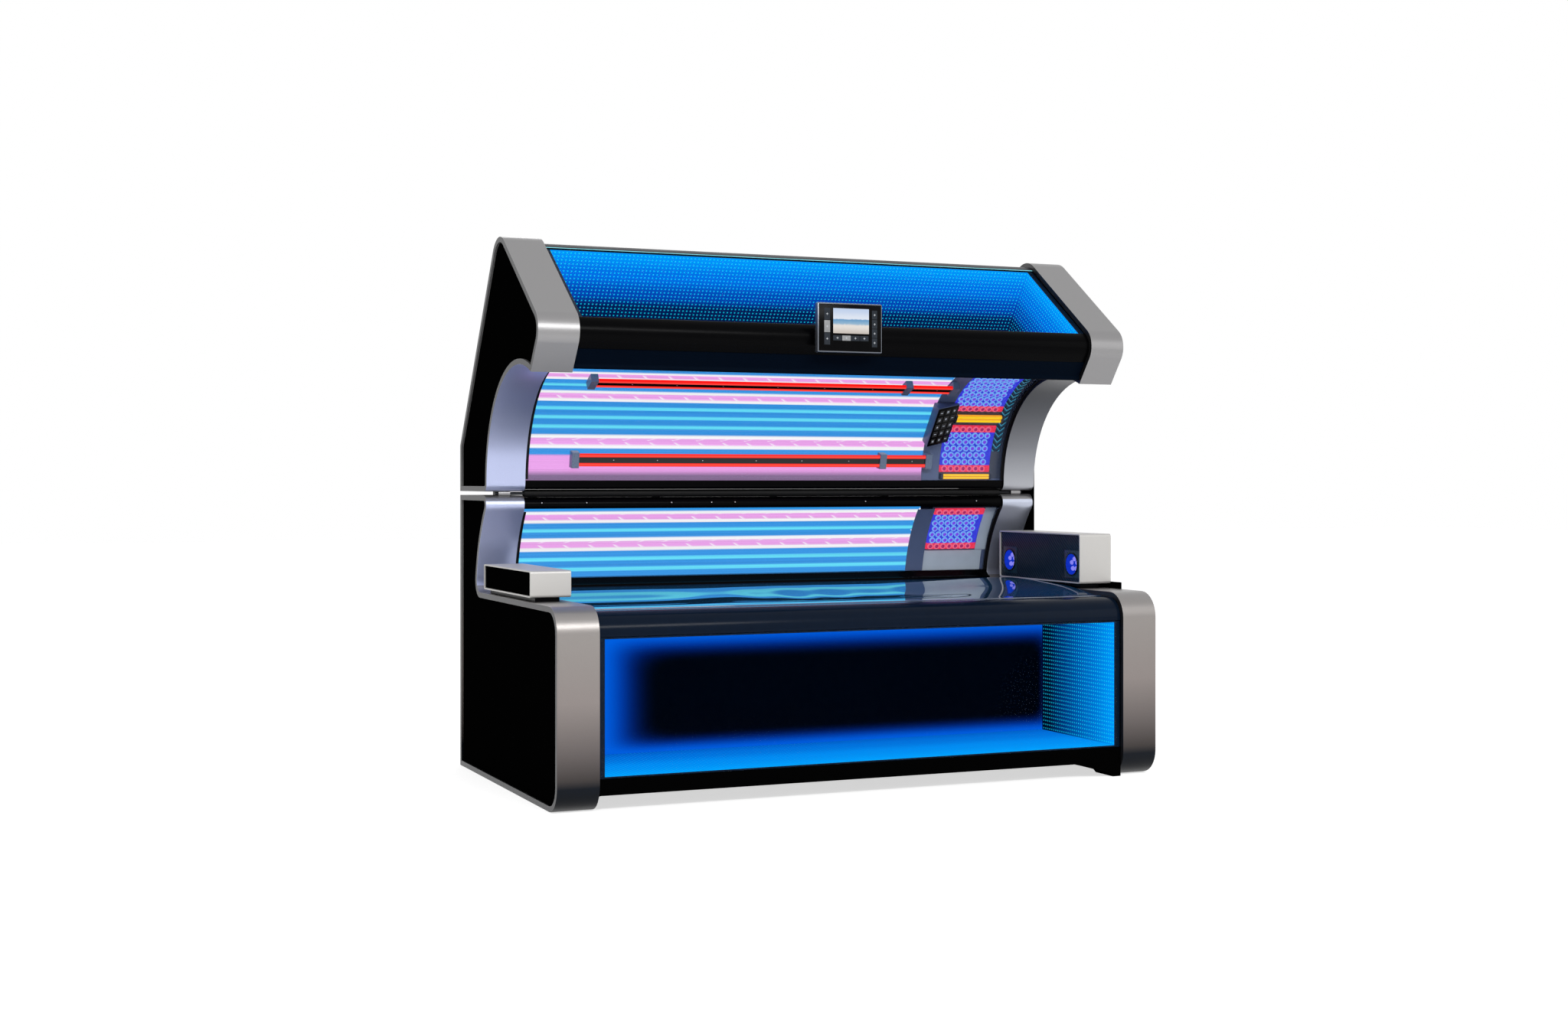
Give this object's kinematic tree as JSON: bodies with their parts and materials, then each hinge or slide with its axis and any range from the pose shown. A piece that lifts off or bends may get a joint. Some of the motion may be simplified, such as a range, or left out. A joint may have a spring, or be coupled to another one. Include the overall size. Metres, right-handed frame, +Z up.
{
  "type": "tanning bed",
  "caption": "Lie-down tanning bed: bench base with a lit front and a hinged, lamp-lined canopy that closes over the user, with end consoles and a face zone.",
  "frame": {"origin": "middle of the bed's outline on the floor", "axes": "+X along the bed toward the head end, -Y toward the user's side, +Z up"},
  "size_m": [2.4, 1.316, 2.0363],
  "materials": {
    "band_silver": "satin silver paint",
    "panel_black": "satin black",
    "trim_black": "gloss black",
    "frame_black": "black powder coat",
    "sheet_grey": "satin grey coat",
    "console_silver": "satin silver paint",
    "clear_acrylic": "clear polished",
    "bench_acrylic": "tinted polished",
    "tinted_glass": "polished",
    "light_box": "satin blue",
    "reflector_sheet": "bright",
    "lamp_glass": "phosphor white",
    "face_lamp_glass": "amber",
    "slate_cover": "satin slate",
    "led_board": "satin blue",
    "red_rail": "red translucent",
    "device_black": "satin black",
    "spot_blue": "blue lens",
    "steel_dark": "dark grey paint",
    "ballast_black": "matte black"
  },
  "bodies": {
    "base": {"base_back_panel": "sheet_grey", "base_band_foot": "band_silver", "base_band_head": "band_silver", "base_chassis": "frame_black", "base_hinge_rail": "frame_black", "base_side_panel_foot": "panel_black", "base_side_panel_head": "panel_black", "bench_bezel": "trim_black", "bench_corner_strip": "trim_black", "bench_lamp_bank": "lamp_glass", "bench_reflector": "reflector_sheet", "fan_plate": "sheet_grey", "foot_console_end_panel": "panel_black", "foot_console_pedestal": "trim_black", "foot_console_shell": "console_silver", "front_light_glass": "tinted_glass", "front_light_tray": "light_box", "head_console_grille": "slate_cover", "head_console_pedestal": "trim_black", "head_console_shell": "console_silver", "head_end_shield": "panel_black", "head_spot_front": "spot_blue", "head_spot_rear": "spot_blue", "hinge_shaft": "steel_dark", "lift_actuator_foot": "steel_dark", "lift_actuator_head": "steel_dark", "power_unit": "ballast_black", "rear_face_panel": "slate_cover", "rear_led_board": "led_board", "rear_wall_acrylic": "clear_acrylic", "rear_wall_lamp_bank": "lamp_glass", "rear_wall_reflector": "reflector_sheet"},
    "canopy": {"canopy_acrylic": "clear_acrylic", "canopy_back_shell": "sheet_grey", "canopy_band_foot": "band_silver", "canopy_band_head": "band_silver", "canopy_bezel": "trim_black", "canopy_fascia": "trim_black", "canopy_hinge_rail": "frame_black", "canopy_lamp_bank": "lamp_glass", "canopy_light_glass": "tinted_glass", "canopy_light_tray": "light_box", "canopy_reflector": "reflector_sheet", "canopy_side_panel_foot": "panel_black", "canopy_side_panel_head": "panel_black", "display_tablet": "device_black", "face_lamp_lower": "face_lamp_glass", "face_lamp_upper": "face_lamp_glass", "face_led_board_lower": "led_board", "face_led_board_upper": "led_board", "face_panel": "slate_cover", "inner_control_panel": "device_black", "red_rail_lower": "red_rail", "red_rail_upper": "red_rail"},
    "bench_lid": {"bench_acrylic": "bench_acrylic"},
    "lift_rod_foot": {"lift_rod_foot": "steel_dark"},
    "lift_rod_head": {"lift_rod_head": "steel_dark"},
    "fan_rotor_foot": {"fan_rotor_foot": "ballast_black"},
    "fan_rotor_head": {"fan_rotor_head": "ballast_black"}
  },
  "joints": [
    {"name": "canopy_hinge", "type": "hinge", "parent": "base", "child": "canopy", "pos_m": [0, 0.298, 1.0825], "axis": [1, 0, 0], "range_deg": [0, 45]},
    {"name": "bench_lift", "type": "hinge", "parent": "base", "child": "bench_lid", "pos_m": [0, 0.372, 0.7099], "axis": [-1, 0, 0], "range_deg": [0, 12]},
    {"name": "lift_slide_foot", "type": "slide", "parent": "base", "child": "lift_rod_foot", "axis": [0, 0, 1], "range_m": [0, 0.1342]},
    {"name": "lift_slide_head", "type": "slide", "parent": "base", "child": "lift_rod_head", "axis": [0, 0, 1], "range_m": [0, 0.1342]},
    {"name": "fan_spin_foot", "type": "hinge", "parent": "base", "child": "fan_rotor_foot", "pos_m": [-0.5, 0.567, 0.38], "axis": [0, 1, 0], "continuous": true},
    {"name": "fan_spin_head", "type": "hinge", "parent": "base", "child": "fan_rotor_head", "pos_m": [0.5, 0.567, 0.38], "axis": [0, 1, 0], "continuous": true}
  ],
  "couplings": [
    {"joint": "lift_slide_foot", "follows": "canopy_hinge", "m_per_rad": 0.17054},
    {"joint": "lift_slide_head", "follows": "canopy_hinge", "m_per_rad": 0.17054}
  ]
}
